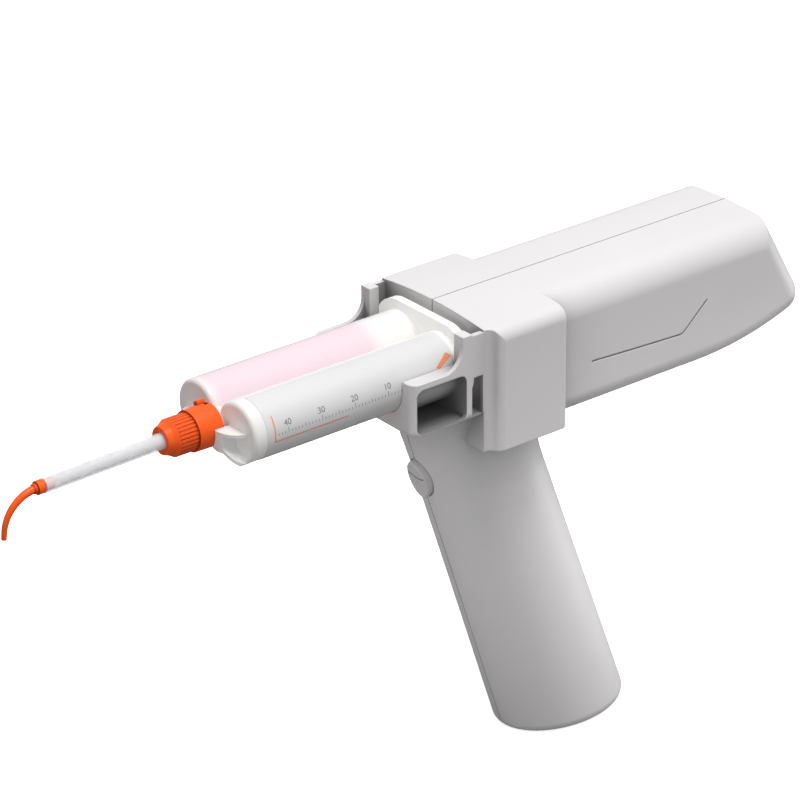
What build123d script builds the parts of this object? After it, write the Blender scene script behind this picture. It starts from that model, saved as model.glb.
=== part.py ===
from build123d import *
from math import acos, atan2, cos, pi, radians, sin, sqrt, tan
import os

# A hand-held, battery-driven gun that squeezes a twin cartridge of dental paste
# through a mixing tube. It stands on the flat base of its grip, at Z = 0 with the
# origin in the middle of that base. The muzzle points along -Y and X = 0 is the
# seam between the two housing halves. Distances "along" the gun are counted from
# the front wall, the face behind the cartridge's flange, and are positive rearwards.

# ---- placing ----
axis_height = 184.5  # cartridge and drive axis above the base
wall_y = -66.5  # the front wall's Y

# ---- clearances and small edges ----
small_edge = 0.6  # rounding of turned edges
seam_gap = 0.2  # between the housing halves
seat_gap = 0.3  # round pieces that lie in a seat
running_gap = 0.05  # radial, round a turning or sliding shaft
flat_gap = 0.4  # beside moving flat faces

# ---- building aids ----
overrun = 30.0  # how far a large cutting form runs past the faces it cuts
skim = 1.0  # how far a small cut runs past the face where it ends
cut = Mode.SUBTRACT

# ---- housing ----
wall = 2.5
body_width = 56.6
body_rise = 19.65  # top seam above the axis
body_drop = 34.0  # flat bottom below the axis
crown_fall = 1.8  # how much the top falls from the seam to crown_reach
crown_reach = 29.2
shoulder_radius = 11.9
body_corner_radius = 6.5
body_top_length = 152.3  # front wall to the rear end of the top seam
rear_rake = 29.0  # rear face from the vertical, degrees
rear_corner_radius = 10.0  # between the rear face and the sides
tail_radius = 8.0  # between the rear face and the belly
tail_low = 4.0  # the edge they share lies between these heights above the bottom
tail_high = 20.0
belly_start = 116.0  # where the bottom starts to rise
belly_radius = 150.0
belly_turn = 24.0  # degrees, to the slope of the tail
body_start = 5.0  # behind the front wall, inside the block

block_width = 70.6
block_length = 38.8
block_top_radius = 5.5
block_bottom_radius = 7.3
block_edge_radius = 2.2
block_sweep = 7.3  # length of the S curve from cheek to block side

# ---- tray in front of the block, which holds the cartridge ----
tray_width = 62.4
tray_wall = 1.95
tray_length = 34.5
tray_drop = 18.9
tray_floor = 1.6
tray_front_wall = 2.2
tray_corner_radius = 3.7
tray_bottom_radius = 3.5
tray_embed = 6.0  # how far the tray runs into the block
rim_rise = 4.2
rim_bar = 2.5
slot_length = 5.8  # takes the flange
cheek_rise = 17.0
post_rise = 17.6
post_length = 4.5
post_width = 5.3
post_sweep_radius = 8.6
saddle_wall = 1.6
cross_wall = 2.6  # stands in line with the posts, under the barrels
window_corner_radius = 3.0
slot_window_drop = 0.8  # top of the slot's side windows, below the axis

# ---- grip ----
grip_rake = 18.0  # front seam from the vertical, degrees
grip_base_depth = 61.4
grip_base_width = 43.0
grip_top_depth = 54.6
grip_top_width = 41.0
grip_base_radius = 5.0
grip_flare = 3.2  # growth of the oval where it meets the block's bottom
grip_flare_length = 22.5  # height of the flare below the block

# ---- cartridge, two barrels side by side ----
barrel_spacing = 24.9
barrel_radius = 12.1
barrel_wall = 1.7
barrel_length = 101.0  # from the flange's rear face
barrel_nose_radius = 1.7
barrel_end_wall = 2.0
barrel_web = 3.0  # half-width of the web that joins the barrels
flange_width = 55.8
flange_height = 31.8
flange_thickness = 3.6
flange_corner_radius = 13.5
neck_length = 8.0  # the outlet in front of the barrels
outlet_radius = 5.6
outlet_bore_radius = 1.5
gate_radius = 0.7  # moulding gate, a dot on each barrel's front
gate_height = 0.4
gate_x = 1.9  # from the barrel's axis, outwards
gate_drop = 4.0
claw_reach = 6.8  # in front of the barrels
claw_wall = 1.2
claw_rise = 1.9  # outer face of a claw's stop plate, from the axis
claw_drop = 6.5  # lower end of the wide claw
claw_outer = 12.6  # outer face, from the middle
claw_curve_radius = 10.0  # rounds the plates' outline
claw_curve_x = 9.5
claw_foot_x = 18.2  # the wide claw's foot reaches the barrel's rim here
claw_foot_drop = 10.6
claw_foot_start = 4.4  # below the axis
piston_recess = 12.0  # from the front wall to the piston's rear face
piston_length = 13.0
piston_lip = 3.0  # length of each sealing land
piston_waist = 0.6  # how far the middle stands in
label_thickness = 0.12
label_start = 8.5  # in front of the front wall
label_end = 97.5
label_low_angle = -70.0
label_high_angle = 100.0

# ---- mixer ----
cap_gap = 2.2  # behind the cap, to the barrels' front
cap_length = 23.1
cap_skirt_length = 10.6
cap_skirt_radius = 8.4
cap_skirt_front_radius = 8.2
cap_wing_radius = 10.5
cap_wing_length = 3.1
cap_near_wing = 4.1  # width of the wide bayonet wing
cap_far_wing = 2.7  # width of the narrow one, so the cap fits only one way round
cap_lug_radius = 9.8
cap_lug_width = 2.6
cap_lug_length = 3.5
cap_lug_setback = 0.6  # in front of the cap's rear face
cap_lug_angle = 117.5  # from +X, when the cap is locked
cap_notch_angle = 98.0
cap_notch_width = 1.9
cap_notch_depth = 0.9
cap_band_radius = 7.5
cap_band_length = 8.3
cap_cone_radius = 6.4
cap_cone_start = 1.7  # in front of the band
cap_nose_radius = 5.5
cap_shoulder_radius = 4.2  # holds the tube's foot
cap_rib_count = 30
cap_rib_depth = 0.35
tube_droop = 1.3  # degrees that the tube hangs down in the cap
tube_root_radius = 3.2
tube_end_radius = 2.95
tube_wall = 0.6
tube_length = 52.0  # in front of the cap
tube_foot_radius = 5.1
tube_foot_thickness = 2.0
element_count = 12
element_steps = 4  # straight stretches in each half turn
element_thickness = 0.8
element_lap = 0.2  # each blade runs this far into the next
tip_collar_radius = 2.7
tip_collar_length = 2.9
tip_collar_edge = 0.4
tip_bend_radius = 15.0
tip_bend = 82.7  # degrees
tip_end_length = 2.6  # straight, after the bend
tip_root_radius = 1.65
tip_end_radius = 1.0
tip_wall = 0.45
tip_plug_length = 4.0
tip_step_radius = 2.0  # between the collar and the spout
tip_step_length = 1.2

# ---- drive ----
stroke = 74.0  # empties both barrels
ram_radius = 4.0
ram_disc_radius = 9.6
ram_disc_thickness = 3.0
bearing_plate_thickness = 6.0
plate_setback = 4.5  # front wall's face to the bearing plate
bush_wall = 1.5
bush_flange_radius = 7.0
bush_flange_thickness = 1.5
screw_radius = 4.0
screw_journal_radius = 2.5
race_radius = 5.5
race_width = 5.0
yoke_thickness = 9.0
retract_room = 12.0  # behind the yoke, to draw the discs out of the slot
rear_plate_thickness = 4.0
plate_side_gap = 2.4
plate_half_height = 11.0
plate_corner_radius = 3.0
yoke_half_width = 21.0
yoke_half_height = 6.5
yoke_corner_radius = 5.5
yoke_clearance = 1.5  # to the bearing plate when the barrels are empty
nut_radius = 6.0
nut_flange_radius = 7.5
nut_flange_thickness = 2.0
gear_module = 0.7
screw_gear_teeth = 32
pinion_teeth = 18
gear_width = 6.0
shaft_reach = 1.0  # the shafts stand out behind their gears
pressure_angle = 20.0
gear_backlash = 0.12  # taken off each tooth at the pitch circle
gearbox_radius = 10.0
gearbox_length = 19.0
motor_radius = 10.0
motor_length = 25.0
motor_shaft_radius = 1.5
motor_shaft_seat = 8.0  # how far it reaches into the gearbox
motor_pilot_radius = 3.5
motor_pilot_height = 2.0
gearbox_screw_spacing = 14.0
gearbox_screw_radius = 1.2
gearbox_screw_length = 9.0

# ---- power and switching ----
cell_radius = 9.2
cell_length = 65.0
cell_nub_radius = 3.0
cell_nub_height = 1.2
cell_gap = 0.6
cell_floor = 22.0  # height of the grip's centre line where the cells start
holder_wall = 1.6
contact_thickness = 0.5
contact_half_width = 3.5
board_thickness = 1.6
button_height = 18.0
button_width = 11.0
button_rise = 2.4  # stands out of the grip
button_edge_radius = 0.9
button_slot_gap = 0.45
button_line = [(-5.6, 3.5), (-2.9, 2.75), (0.4, 1.95), (4.0, 2.3), (5.6, 3.0)]  # engraved
button_line_width = 0.5
button_line_depth = 0.35
button_depth = 8.5  # below the grip's surface
rocker_pin_radius = 1.0
rocker_pin_depth = 7.0
button_frame_half_width = 8.4
button_frame_half_height = 13.0
button_frame_top = 5.8  # below the grip's surface
button_centre_drop = 55.4  # below the axis, on the grip's front
switch_height = 3.0
switch_body_height = 1.8
switch_plunger_radius = 1.5
switch_size = 5.0
switch_reach = 5.0  # from the rocker's axis
switch_gap = 0.35  # under the rocker
socket_radius = 5.5
socket_length = 12.0
socket_bore_radius = 2.75
socket_bore_depth = 9.0
socket_flange_radius = 7.5
socket_flange_thickness = 1.5
screw_boss_radius = 3.2
case_screw_radius = 1.3
case_screw_head_radius = 2.7
case_screw_head_height = 2.0
case_screw_reach = 11.0  # depth of the pilot hole in the left half
case_screw_land = 5.0  # boss left under the screw's head, in the right half
rail_wall = 1.6
rail_hold = 2.2
rail_half_height = 8.0
guide_length = 2.0  # of the ribs beside the button frame and the battery holder
guide_gap = 0.2
cradle_half_width = 12.0
cradle_length = 3.0
board_ledge = 2.0
board_width = 46.0
board_length = 38.0
board_start = 14.0  # behind the front wall
board_drop = 20.5  # below the axis
groove_width = 0.6
groove_depth = 0.5
groove_bend_radius = 4.0
groove_points = [(57.0, -13.9), (82.0, -15.3), (104.5, -16.4), (117.5, -5.0)]
body_screw_places = [(22.0, 13.2), (82.0, 12.6), (137.0, 9.5), (132.0, -25.5), (8.0, -29.2)]
grip_screw_places = [(17.0, 100.0), (-21.0, 9.0)]
socket_y = 14.0  # behind the middle of the base

# ---- worked out from the values above ----
block_rear = wall_y + block_length
half_block = block_width / 2
half_body = body_width / 2
half_tray = tray_width / 2
half_slot = half_tray - tray_wall
top_z = axis_height + body_rise
bottom_z = axis_height - body_drop
tray_front = wall_y - tray_length
tray_bottom = axis_height - tray_drop
grip_flare_start = bottom_z - grip_flare_length
slot_front = wall_y - slot_length
crown_radius = (crown_reach**2 + crown_fall**2) / (2 * crown_fall)
crown_centre = top_z - crown_radius
body_end = wall_y + body_top_length
side_points = (-1, 1)
barrel_x = barrel_spacing / 2
rim_z = axis_height + rim_rise
post_front = slot_front - post_length
post_inner = half_tray - post_width
floor_z = tray_bottom + tray_floor
pocket_front = tray_front + tray_front_wall
cross_front = slot_front - cross_wall
open_top = axis_height + post_rise + 5
saddle_radius = barrel_radius + seat_gap
saddle_outer = saddle_radius + saddle_wall
half_opening = barrel_x + saddle_radius
bore_radius = barrel_radius - barrel_wall

plate_front = wall_y + plate_setback
plate_rear = plate_front + bearing_plate_thickness
disc_front = wall_y - piston_recess
yoke_front = plate_rear + yoke_clearance + stroke
yoke_rear = yoke_front + yoke_thickness
rear_plate_front = yoke_rear + retract_room
rear_plate_rear = rear_plate_front + rear_plate_thickness
gear_front = rear_plate_rear + flat_gap
gear_distance = gear_module * (screw_gear_teeth + pinion_teeth) / 2
motor_z = axis_height - gear_distance
plate_half_width = half_tray - wall - plate_side_gap
rear_plate_half_width = half_body - wall - plate_side_gap

cell_offset = cell_radius + cell_gap / 2
pack_top = cell_length + cell_nub_height
board_z = axis_height - board_drop
holder_half_width = cell_radius + seat_gap + holder_wall
button_z = axis_height - button_centre_drop
grip_front_y = -grip_base_depth / 2 - button_z * tan(radians(grip_rake))
button_plane = Plane(
    origin=(0, grip_front_y, button_z),
    x_dir=(1, 0, 0),
    z_dir=(0, -cos(radians(grip_rake)), -sin(radians(grip_rake))),
)


def crown_z(x, inset=0.0):
    """Height of the crowned top at a distance from the seam."""
    return crown_centre + sqrt((crown_radius - inset) ** 2 - x**2)


def section_prism(half_width, start, end, top_radius, bottom_radius, inset):
    """The crowned, round-cornered section that the body and block share, run along Y."""
    reach = half_width - inset
    floor = bottom_z + inset
    with BuildPart() as prism:
        with BuildSketch(Plane.XZ.offset(-start)):
            with BuildLine():
                ThreePointArc(
                    (-reach, crown_z(reach, inset)), (0, top_z - inset), (reach, crown_z(reach, inset))
                )
                Polyline((reach, crown_z(reach, inset)), (reach, floor), (-reach, floor))
                Line((-reach, floor), (-reach, crown_z(reach, inset)))
            outline = make_face()
            fillet(outline.vertices().group_by(Axis.Y)[-1], top_radius - inset)
            fillet(outline.vertices().group_by(Axis.Y)[0], bottom_radius - inset)
        extrude(amount=-(end - start))
    return prism.part


def rear_y(z, inset=0.0):
    """Where the raked rear face stands at a height."""
    return body_end + (top_z - z) * tan(radians(rear_rake)) - inset / cos(radians(rear_rake))


def body_form(inset):
    """The long rear body: crowned section, raked rear face, belly that rises to the tail."""
    start = wall_y + body_start + inset
    low = bottom_z + inset
    belly_y = wall_y + belly_start
    with BuildPart() as form:
        add(section_prism(half_body, start, rear_y(bottom_z) + overrun, shoulder_radius,
                          body_corner_radius, inset))
        with BuildSketch(Plane.YZ):
            with BuildLine():
                flat = Line((start, low), (belly_y, low))
                rise = JernArc(start=flat @ 1, tangent=(1, 0), radius=belly_radius - inset, arc_size=belly_turn)
                tail_z = (rise @ 1).Y
                tail_y = rear_y(tail_z, inset) + overrun
                tail = Line(rise @ 1, (tail_y, tail_z))
                Polyline(tail @ 1, (tail_y, top_z + overrun), (start, top_z + overrun), (start, low))
            make_face()
        extrude(amount=half_block, both=True, mode=Mode.INTERSECT)
        plan_z = bottom_z - overrun
        with BuildSketch(Plane.XY.offset(plan_z)) as plan:
            front = start - 2 * overrun
            rear = rear_y(plan_z, inset)
            with Locations((0, (front + rear) / 2)):
                Rectangle(2 * (half_body - inset), rear - front)
            fillet(plan.vertices().group_by(Axis.Y)[-1], rear_corner_radius - inset)
        rake = Vector(0, -sin(radians(rear_rake)), cos(radians(rear_rake)))
        extrude(amount=(top_z - plan_z) / cos(radians(rear_rake)) + overrun, dir=rake,
                mode=Mode.INTERSECT)
        tail_edges = form.edges().filter_by_position(Axis.Z, low + tail_low, low + tail_high)
        tail_edges = tail_edges.filter_by_position(Axis.Y, rear_y(axis_height), rear_y(bottom_z))
        fillet(tail_edges, tail_radius - inset)
    return form.part


def block_form(inset):
    """The wide block behind the cartridge, with S-curved front corners."""
    with BuildPart() as form:
        add(section_prism(block_width / 2, wall_y + inset, block_rear - inset,
                          block_top_radius, block_bottom_radius, inset))
        fillet(form.faces().sort_by(Axis.Y)[-1].edges(), block_edge_radius)
        with BuildSketch(Plane.XY.offset(bottom_z - skim)) as plan:
            with BuildLine():
                out = (half_block - half_tray) / 2
                for side in side_points:
                    cheek = Line((0, wall_y + inset), (side * (half_tray - inset), wall_y + inset))
                    lead = Line(cheek @ 1, cheek @ 1 + Vector(0, 0.5))
                    hollow = TangentArc(
                        lead @ 1, lead @ 1 + Vector(side * out, block_sweep / 2), tangent=(0, 1)
                    )
                    swell = TangentArc(
                        hollow @ 1, hollow @ 1 + Vector(side * out, block_sweep / 2), tangent=hollow % 1
                    )
                    edge = Line(swell @ 1, (side * (half_block - inset), block_rear + skim))
                    Line(edge @ 1, (0, block_rear + skim))
            make_face()
        extrude(amount=top_z - bottom_z + 2 * skim, mode=Mode.INTERSECT)
    return form.part


def grip_section(z, inset):
    """Centre and half-sizes of the grip's oval at a height; it flares into the block."""
    share = z / tray_bottom
    depth = grip_base_depth + (grip_top_depth - grip_base_depth) * share
    width = grip_base_width + (grip_top_width - grip_base_width) * share
    flare = grip_flare * (max(z - grip_flare_start, 0) / (bottom_z - grip_flare_start)) ** 1.6
    front = -grip_base_depth / 2 - z * tan(radians(grip_rake))
    depth += flare
    return front + depth / 2, width / 2 + flare - inset, depth / 2 - inset


def grip_form(inset, low, high):
    """The raked oval grip: a straight shank and a root that flares up to its high end."""
    root_step = (high - grip_flare_start) / 3
    shank_heights = (low, grip_flare_start)
    root_heights = [grip_flare_start + root_step * count for count in range(4)]
    with BuildPart() as form:
        for heights in (shank_heights, root_heights):
            for z in heights:
                centre, half_width, half_depth = grip_section(z, inset)
                with BuildSketch(Plane.XY.offset(z)):
                    with Locations((0, centre)):
                        Ellipse(half_width, half_depth)
            loft()
    return form.part


def tray_form():
    """Outer shape of the open tray: soft lower corners, low rims, posts and cheeks."""
    post_z = axis_height + post_rise
    cheek_z = axis_height + cheek_rise
    with BuildPart() as form:
        with BuildSketch(Plane.YZ):
            with BuildLine():
                rim = Line((tray_front, rim_z), (post_front - post_sweep_radius, rim_z))
                sweep_up = RadiusArc(
                    rim @ 1, (post_front, rim_z + post_sweep_radius), -post_sweep_radius
                )
                front = Line(sweep_up @ 1, (post_front, post_z))
                top = Line(front @ 1, (slot_front, post_z))
                step = Line(top @ 1, (slot_front, cheek_z))
                cheek = Line(step @ 1, (wall_y + tray_embed, cheek_z))
                Polyline(cheek @ 1, (wall_y + tray_embed, tray_bottom), (tray_front, tray_bottom), rim @ 0)
            make_face()
        extrude(amount=half_tray, both=True)
        front_corners = form.edges().filter_by(Axis.Z).group_by(Axis.Y)[0]
        fillet(front_corners, tray_corner_radius)
        fillet(form.faces().sort_by(Axis.Z)[0].edges().filter_by_position(
            Axis.Y, tray_front - skim, wall_y + tray_embed - skim), tray_bottom_radius)
    return form.part


def barrel_cylinders(radius, start, end):
    """Two solid cylinders on the barrels' axes, run along Y."""
    with BuildPart() as pair:
        with BuildSketch(Plane.XZ.offset(-start)):
            with Locations(*[(side * barrel_x, axis_height) for side in side_points]):
                Circle(radius)
        extrude(amount=-(end - start))
    return pair.part


def block_between(low, high, mode=Mode.ADD):
    """A plain block from its lowest to its highest corner, in the part being built."""
    size = [b - a for a, b in zip(low, high)]
    middle = [(a + b) / 2 for a, b in zip(low, high)]
    with Locations(tuple(middle)):
        Box(*size, mode=mode)


# ==== saddles that the barrels lie in ====
with BuildPart() as saddles:
    with BuildSketch(Plane.XZ.offset(-pocket_front)):
        for side in side_points:
            with Locations((side * barrel_x, axis_height)):
                Circle(saddle_outer)
            with Locations((side * barrel_x, axis_height + rim_rise / 2)):
                Rectangle(2 * saddle_outer, rim_rise)
            with Locations((side * (half_opening + half_slot) / 2, rim_z - saddle_wall / 2)):
                Rectangle(half_slot - half_opening + flat_gap, saddle_wall)
        with Locations((0, axis_height + rim_rise + saddle_outer)):
            Rectangle(4 * half_tray, 2 * saddle_outer, mode=cut)
    extrude(amount=-(cross_front - pocket_front))

# ==== housing shell, before it is split at the seam ====
with BuildPart() as shell:
    add(body_form(0))
    add(block_form(0))
    add(tray_form())
    add(grip_form(0, 0, tray_bottom + skim))
    fillet(shell.faces().sort_by(Axis.Z)[0].edges(), grip_base_radius)
    add(body_form(wall), mode=cut)
    add(block_form(wall), mode=cut)
    add(grip_form(wall, wall, tray_bottom), mode=cut)
    # pocket under the saddles, the space over the rims, the gap between the posts, the slot
    block_between((-half_slot, pocket_front, floor_z), (half_slot, cross_front, rim_z), cut)
    block_between((-half_slot, tray_front - skim, rim_z), (half_slot, post_front, open_top), cut)
    block_between((-post_inner, post_front - skim, rim_z), (post_inner, slot_front, open_top), cut)
    block_between((-half_slot, slot_front, floor_z), (half_slot, wall_y, open_top), cut)
    add(saddles.part)
    add(barrel_cylinders(saddle_radius, tray_front - skim, slot_front), mode=cut)
    block_between(
        (-half_opening, tray_front - skim, axis_height), (half_opening, slot_front, open_top), cut
    )
    # the rams' discs pass through the front wall
    add(barrel_cylinders(ram_disc_radius + flat_gap, wall_y - skim, wall_y + wall + skim), mode=cut)
    # side windows of the pocket and of the slot
    for side in side_points:
        with BuildSketch(Plane.YZ.offset(side * (half_slot - flat_gap))) as windows:
            for start, end, top in (
                (pocket_front, cross_front, rim_z - rim_bar),
                (slot_front, wall_y - flat_gap, axis_height - slot_window_drop),
            ):
                with Locations(((start + end) / 2, (floor_z + top) / 2)):
                    Rectangle(end - start, top - floor_z)
            fillet(windows.vertices().group_by(Axis.X)[:2], window_corner_radius)
        extrude(amount=side * (tray_wall + skim), mode=cut)
    # decorative groove, an open V lying along each side of the body
    for side in side_points:
        with BuildSketch(Plane.YZ.offset(side * (half_body - groove_depth))):
            with BuildLine() as groove:
                FilletPolyline(*[(wall_y + y, axis_height + z) for y, z in groove_points],
                               radius=groove_bend_radius)
            trace(groove.line, line_width=groove_width)
        extrude(amount=side * skim, mode=cut)
    # oval opening for the rocker button
    with BuildSketch(button_plane):
        Ellipse(button_width / 2 + button_slot_gap, button_height / 2 + button_slot_gap)
    extrude(amount=-button_depth, mode=cut)
    # charging socket's hole
    with Locations((0, socket_y, wall / 2)):
        Cylinder(socket_radius + running_gap, wall + skim, mode=cut)


def round_bar(radius, x_from, x_to, y, z, mode=Mode.ADD):
    """A cylinder along X."""
    with Locations(Location(((x_from + x_to) / 2, y, z), (0, 90, 0))):
        Cylinder(radius, x_to - x_from, mode=mode)


grip_lean = atan2(
    grip_section(cell_floor, 0)[0] - grip_section(cell_floor + cell_length, 0)[0], cell_length
)
pack_plane = Plane(
    origin=(0, grip_section(cell_floor, 0)[0], cell_floor),
    x_dir=(1, 0, 0),
    z_dir=(0, -sin(grip_lean), cos(grip_lean)),
)

# ==== inside of the housing: screw bosses, rails for the plates, cradles ====
screw_places = [
    (wall_y + y, axis_height + z) for y, z in body_screw_places
] + [(grip_section(z, 0)[0] + y, z) for y, z in grip_screw_places]

with BuildPart() as inner_forms:
    add(body_form(wall / 2))
    add(block_form(wall / 2))
    add(grip_form(wall / 2, wall / 2, tray_bottom + skim / 2))

with BuildPart() as ribs:
    for y, z in screw_places:
        round_bar(screw_boss_radius, -half_block, half_block, y, z)
    # rails each side, slotted for the bearing plate and for the rear plate
    for front, rear, reach, half in (
        (plate_front, plate_rear, plate_half_width, half_block),
        (rear_plate_front, rear_plate_rear, rear_plate_half_width, half_body),
    ):
        for side in side_points:
            inner, outer = sorted((side * (reach - rail_hold), side * half))
            block_between(
                (inner, front - rail_wall, axis_height - rail_half_height),
                (outer, rear + rail_wall, axis_height + rail_half_height),
            )
            inner, outer = sorted((side * (reach - rail_hold - skim), side * (reach + flat_gap / 2)))
            block_between(
                (inner, front - flat_gap / 2, axis_height - rail_half_height - skim),
                (outer, rear + flat_gap / 2, axis_height + rail_half_height + skim),
                cut,
            )
    # cradle under the gear motor
    cradle_front = rear_plate_front - gearbox_length - motor_length / 2
    block_between(
        (-cradle_half_width, cradle_front, bottom_z),
        (cradle_half_width, cradle_front + cradle_length, motor_z - motor_radius / 2),
    )
    # guides beside the button's frame
    for side in side_points:
        with BuildSketch(button_plane.offset(-button_frame_top - 2 * guide_length)):
            with Locations((side * (button_frame_half_width + guide_gap + half_body / 2), 0)):
                Rectangle(half_body, button_height)
        extrude(amount=guide_length)
    # guides beside the battery holder
    for side in side_points:
        for height in (cell_length / 6, cell_length * 5 / 6):
            with BuildSketch(pack_plane.offset(height)):
                with Locations((side * (holder_half_width + guide_gap + half_body / 2), 0)):
                    Rectangle(half_body, 2 * cell_radius)
            extrude(amount=guide_length)
    # ledges for the control board
    ledge_front = wall_y + board_start
    for side in side_points:
        inner, outer = sorted((side * (board_width / 2 - board_ledge), side * half_block))
        block_between((inner, ledge_front, board_z - board_ledge),
                      (outer, ledge_front + board_length, board_z))
    add(inner_forms.part, mode=Mode.INTERSECT)
    add(barrel_cylinders(ram_disc_radius + flat_gap, wall_y, plate_front), mode=cut)
    with BuildSketch(Plane.XZ.offset(-rear_plate_front + gearbox_length + motor_length)):
        with Locations((0, motor_z)):
            Circle(motor_radius + guide_gap)
    extrude(amount=-(gearbox_length + motor_length), mode=cut)


# the Y and Z reach of the boxes that split the shell at its seam
half_low = (tray_front - overrun, -overrun)
half_high = (rear_y(0) + overrun, top_z + overrun)

with BuildPart() as left_housing:
    add(shell.part)
    add(ribs.part)
    block_between((seam_gap / 2, *half_low), (2 * half_block, *half_high), Mode.INTERSECT)
    for y, z in screw_places:
        round_bar(case_screw_radius + running_gap, 0, case_screw_reach, y, z, cut)
left_housing.part.label = "left_housing"

with BuildPart() as right_housing:
    add(shell.part)
    add(ribs.part)
    block_between((-2 * half_block, *half_low), (-seam_gap / 2, *half_high), Mode.INTERSECT)
    for y, z in screw_places:
        round_bar(case_screw_radius + seat_gap, -half_block, skim, y, z, cut)
        round_bar(case_screw_head_radius + seat_gap, -half_block - skim, -case_screw_land, y, z, cut)
right_housing.part.label = "right_housing"

with BuildPart() as case_screws:
    for y, z in screw_places:
        round_bar(case_screw_radius, -case_screw_land - skim / 2, case_screw_reach - skim / 2, y, z)
        round_bar(case_screw_head_radius, -case_screw_land - case_screw_head_height,
                  -case_screw_land, y, z)
case_screws.part.label = "case_screws"

# ==== cartridge ====
flange_front = slot_front
flange_rear = flange_front + flange_thickness
barrel_front = flange_rear - barrel_length
bore_front = barrel_front + barrel_end_wall
outlet_x = barrel_x - bore_radius + outlet_bore_radius + running_gap
neck_front = barrel_front - neck_length
drive_axis = Axis((0, 0, axis_height), (0, 1, 0))
axis_plane = Plane.XY.offset(axis_height)


def tube_along(radius, start, end, x=0.0, z=axis_height, mode=Mode.ADD):
    """A cylinder along Y, in the part being built."""
    with Locations(Location((x, (start + end) / 2, z), (90, 0, 0))):
        Cylinder(radius, end - start, mode=mode)


claw_front = barrel_front - claw_reach
claw_clear = cap_skirt_radius + seat_gap
stop_gap = flat_gap / 2
wing_stop = claw_rise - claw_wall - stop_gap  # where a locked wing ends, from the axis


def pocket_form(side):
    """The space behind a claw in which a wing of the cap turns, up to the stop plate."""
    x_low, x_high = sorted((0, side * overrun))
    z_low, z_high = sorted((-side * overrun, side * (claw_rise - claw_wall)))
    with BuildPart() as form:
        tube_along(cap_wing_radius + seat_gap, claw_front + claw_wall, barrel_front)
        block_between((x_low, claw_front, axis_height + z_low),
                      (x_high, barrel_front, axis_height + z_high), Mode.INTERSECT)
    return form.part


def claw_form(side, low, high):
    """One bayonet claw with its stop plate, which is on top at +X and underneath at -X."""
    embed = barrel_nose_radius  # how far it runs into the barrel's front
    x_low, x_high = sorted((0, side * claw_outer))
    plate_low, plate_high = sorted((side * (claw_rise - claw_wall), side * claw_rise))
    x_near, x_far = sorted((0, side * overrun))
    with BuildPart() as form:
        block_between((x_low, claw_front, axis_height + low), (x_high, barrel_front, axis_height + high))
        block_between((x_near, claw_front, axis_height + plate_low),
                      (x_far, barrel_front + embed, axis_height + plate_high))
        if side > 0:
            with BuildSketch(Plane.XZ.offset(-claw_front)):
                with BuildLine():
                    Line((claw_outer - claw_wall, axis_height - claw_foot_start),
                         (claw_foot_x, axis_height - claw_foot_drop))
                trace(line_width=claw_wall)
            extrude(amount=-(claw_reach + embed))
        with BuildSketch(Plane.XY.offset(axis_height - overrun)):
            with Locations((side * claw_curve_x, claw_front + claw_curve_radius)):
                Circle(claw_curve_radius)
        extrude(amount=2 * overrun, mode=Mode.INTERSECT)
        tube_along(claw_clear, claw_front - skim, barrel_front, mode=cut)
        add(pocket_form(side), mode=cut)
    return form.part


with BuildPart() as cartridge_body:
    for side in side_points:
        tube_along(barrel_radius, barrel_front, flange_rear, side * barrel_x)
    fillet(cartridge_body.faces().group_by(Axis.Y)[0].edges(), barrel_nose_radius)
    block_between((-barrel_web, barrel_front, axis_height + seat_gap),
                  (barrel_web, flange_front, axis_height + barrel_web))
    tube_along(outlet_radius, neck_front, barrel_front + barrel_end_wall)
    add(claw_form(1, -claw_drop, claw_rise))
    add(claw_form(-1, -claw_rise, claw_rise))
    for side in side_points:
        tube_along(gate_radius, barrel_front - gate_height, barrel_front,
                   side * (barrel_x + gate_x), axis_height - gate_drop)
    with BuildSketch(Plane.XZ.offset(-flange_front)):
        with Locations((0, axis_height)):
            RectangleRounded(flange_width, flange_height, flange_corner_radius)
    extrude(amount=-flange_thickness)
    for side in side_points:
        tube_along(bore_radius, bore_front, flange_rear + skim, side * barrel_x, mode=cut)
        tube_along(outlet_bore_radius, neck_front - skim, bore_front + skim, side * outlet_x, mode=cut)
cartridge_body.part.label = "cartridge_body"

with BuildPart() as cartridge_label:
    with BuildSketch(Plane.XZ.offset(-(wall_y - label_end))):
        with BuildLine():
            label_radius = barrel_radius + 0.02 + label_thickness / 2
            CenterArc((barrel_x, axis_height), label_radius, label_low_angle,
                      label_high_angle - label_low_angle)
        trace(line_width=label_thickness)
    extrude(amount=-(label_end - label_start))
cartridge_label.part.label = "cartridge_label"

piston_rear = disc_front
piston_front = piston_rear - piston_length


def piston_form(x):
    """A piston with two sealing lands and a dished rear."""
    with BuildPart() as form:
        tube_along(bore_radius - running_gap, piston_front, piston_rear, x)
        with BuildSketch(Plane.XZ.offset(-piston_front - piston_lip)):
            with Locations((x, axis_height)):
                Circle(bore_radius + skim)
                Circle(bore_radius - running_gap - piston_waist, mode=cut)
        extrude(amount=-(piston_length - 2 * piston_lip), mode=cut)
    return form.part


with BuildPart() as base_piston:
    add(piston_form(barrel_x))
base_piston.part.label = "base_piston"

with BuildPart() as catalyst_piston:
    add(piston_form(-barrel_x))
catalyst_piston.part.label = "catalyst_piston"

with BuildPart() as base_paste:
    tube_along(bore_radius - seat_gap, bore_front + flat_gap, piston_front - flat_gap, barrel_x)
base_paste.part.label = "base_paste"

with BuildPart() as catalyst_paste:
    tube_along(bore_radius - seat_gap, bore_front + flat_gap, piston_front - flat_gap, -barrel_x)
catalyst_paste.part.label = "catalyst_paste"

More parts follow.
